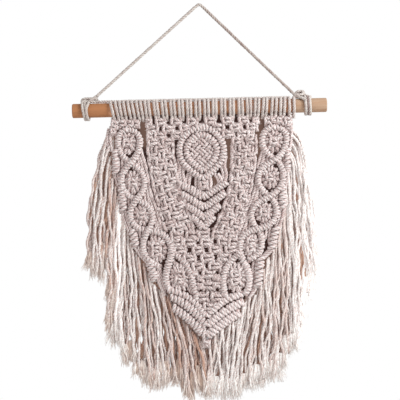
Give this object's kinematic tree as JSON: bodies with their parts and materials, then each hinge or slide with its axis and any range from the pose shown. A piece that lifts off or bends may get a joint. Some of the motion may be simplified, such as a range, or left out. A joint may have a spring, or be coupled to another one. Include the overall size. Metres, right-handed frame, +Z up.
{
  "type": "macrame wall hanging with dowel",
  "caption": "Knotted cotton cord hanging on a wooden dowel, with a pointed lower edge, a long fringe and a cord to hang it from a nail",
  "frame": {"origin": "underside of the hanger cord's top bend, where it rests on a nail", "axes": "X runs along the dowel to the right as seen from the front, -Y faces the viewer, +Z is up"},
  "size_m": [0.305, 0.0246, 0.4747],
  "materials": {
    "pale_wood": "sanded, bare wood",
    "natural_cotton": "twisted cotton cord, matte"
  },
  "bodies": {
    "root": {"dowel": "pale_wood", "lark_heads": "natural_cotton", "knotted_panel": "natural_cotton", "fringe_left": "natural_cotton", "fringe_right": "natural_cotton", "hanger_tie_left": "natural_cotton", "hanger_tie_right": "natural_cotton", "hanger": "natural_cotton"}
  },
  "joints": []
}
